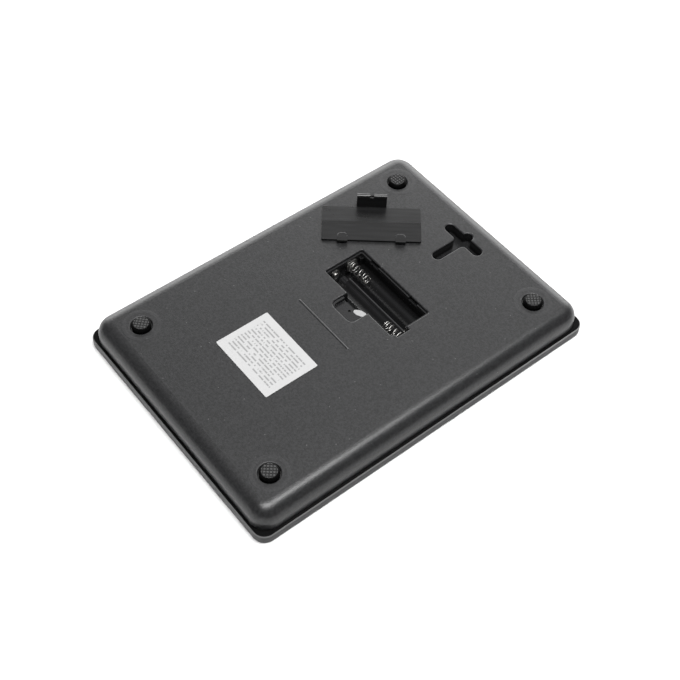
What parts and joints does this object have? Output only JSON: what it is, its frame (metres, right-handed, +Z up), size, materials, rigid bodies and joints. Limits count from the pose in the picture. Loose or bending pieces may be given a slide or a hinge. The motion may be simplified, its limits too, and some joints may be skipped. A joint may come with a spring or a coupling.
{
  "type": "digital scale",
  "caption": "Glass-topped digital scale lying face down, underside up, with an open battery bay, its loose cover, a hanging slot and floating rubber feet.",
  "frame": {"origin": "centre of the glass platform's outer face, which lies on the floor", "axes": "+X along the long side from the display end to the hanging slot, +Y across to the side where the loose cover lies, +Z up out of the underside"},
  "size_m": [0.2, 0.1446, 0.0265],
  "materials": {
    "platform_glass": "tempered, printed black on its back",
    "shell_plastic": "fine moulded grain",
    "cover_plastic": "smooth inner face",
    "inner_plastic": "as moulded",
    "foot_rubber": "waffle face",
    "label_paper": "white paper",
    "plated_steel": "nickel plated",
    "screw_steel": "zinc plated",
    "cell_alloy": "milled",
    "gauge_sealant": "white sealant",
    "cell_cable": "soft sheath",
    "red_lead": "soft sheath",
    "black_lead": "soft sheath",
    "tape_foam": "foam tape",
    "display_glass": "liquid crystal",
    "strip_rubber": "striped",
    "board_laminate": "solder mask",
    "chip_resin": "epoxy"
  },
  "bodies": {
    "scale": {"glass_platform": "platform_glass", "platform_tape": "tape_foam", "platform_frame": "inner_plastic", "base_shell": "shell_plastic", "rating_label": "label_paper", "recess_dot": "label_paper", "plus_contact": "plated_steel", "minus_contact": "plated_steel", "bridge_contact": "plated_steel", "minus_spring": "plated_steel", "bridge_spring": "plated_steel", "display_panel": "display_glass", "display_frame": "inner_plastic", "contact_strips": "strip_rubber", "circuit_board": "board_laminate", "controller_chip": "chip_resin", "board_screws": "screw_steel", "touch_spring_1": "plated_steel", "touch_spring_2": "plated_steel", "plus_lead": "red_lead", "minus_lead": "black_lead", "load_cell_mount_front_1": "inner_plastic", "load_cell_front_1": "cell_alloy", "load_cell_gauge_front_1": "gauge_sealant", "load_cell_screws_front_1": "screw_steel", "load_cell_cable_front_1": "cell_cable", "load_cell_mount_front_2": "inner_plastic", "load_cell_front_2": "cell_alloy", "load_cell_gauge_front_2": "gauge_sealant", "load_cell_screws_front_2": "screw_steel", "load_cell_cable_front_2": "cell_cable", "load_cell_mount_rear_1": "inner_plastic", "load_cell_rear_1": "cell_alloy", "load_cell_gauge_rear_1": "gauge_sealant", "load_cell_screws_rear_1": "screw_steel", "load_cell_cable_rear_1": "cell_cable", "load_cell_mount_rear_2": "inner_plastic", "load_cell_rear_2": "cell_alloy", "load_cell_gauge_rear_2": "gauge_sealant", "load_cell_screws_rear_2": "screw_steel", "load_cell_cable_rear_2": "cell_cable"},
    "battery_cover": {"battery_cover": "cover_plastic"},
    "cover_latch": {"cover_latch": "cover_plastic"},
    "foot_front_1": {"foot_pad_front_1": "foot_rubber", "foot_plunger_front_1": "inner_plastic"},
    "foot_front_2": {"foot_pad_front_2": "foot_rubber", "foot_plunger_front_2": "inner_plastic"},
    "foot_rear_1": {"foot_pad_rear_1": "foot_rubber", "foot_plunger_rear_1": "inner_plastic"},
    "foot_rear_2": {"foot_pad_rear_2": "foot_rubber", "foot_plunger_rear_2": "inner_plastic"}
  },
  "joints": [
    {"name": "cover_lift", "type": "slide", "parent": "scale", "child": "battery_cover", "axis": [0, 0, 1], "range_m": [0, 0.06]},
    {"name": "latch_squeeze", "type": "hinge", "parent": "battery_cover", "child": "cover_latch", "pos_m": [0.05761, 0.0459, 0.0252], "axis": [-0.7716, 0.6361, 0], "range_deg": [0, 5], "stiffness_Nm_per_rad": 0.2},
    {"name": "foot_press_front_1", "type": "slide", "parent": "scale", "child": "foot_front_1", "axis": [0, 0, -1], "range_m": [0, 0.0003], "stiffness_N_per_m": 40000},
    {"name": "foot_press_front_2", "type": "slide", "parent": "scale", "child": "foot_front_2", "axis": [0, 0, -1], "range_m": [0, 0.0003], "stiffness_N_per_m": 40000},
    {"name": "foot_press_rear_1", "type": "slide", "parent": "scale", "child": "foot_rear_1", "axis": [0, 0, -1], "range_m": [0, 0.0003], "stiffness_N_per_m": 40000},
    {"name": "foot_press_rear_2", "type": "slide", "parent": "scale", "child": "foot_rear_2", "axis": [0, 0, -1], "range_m": [0, 0.0003], "stiffness_N_per_m": 40000}
  ]
}
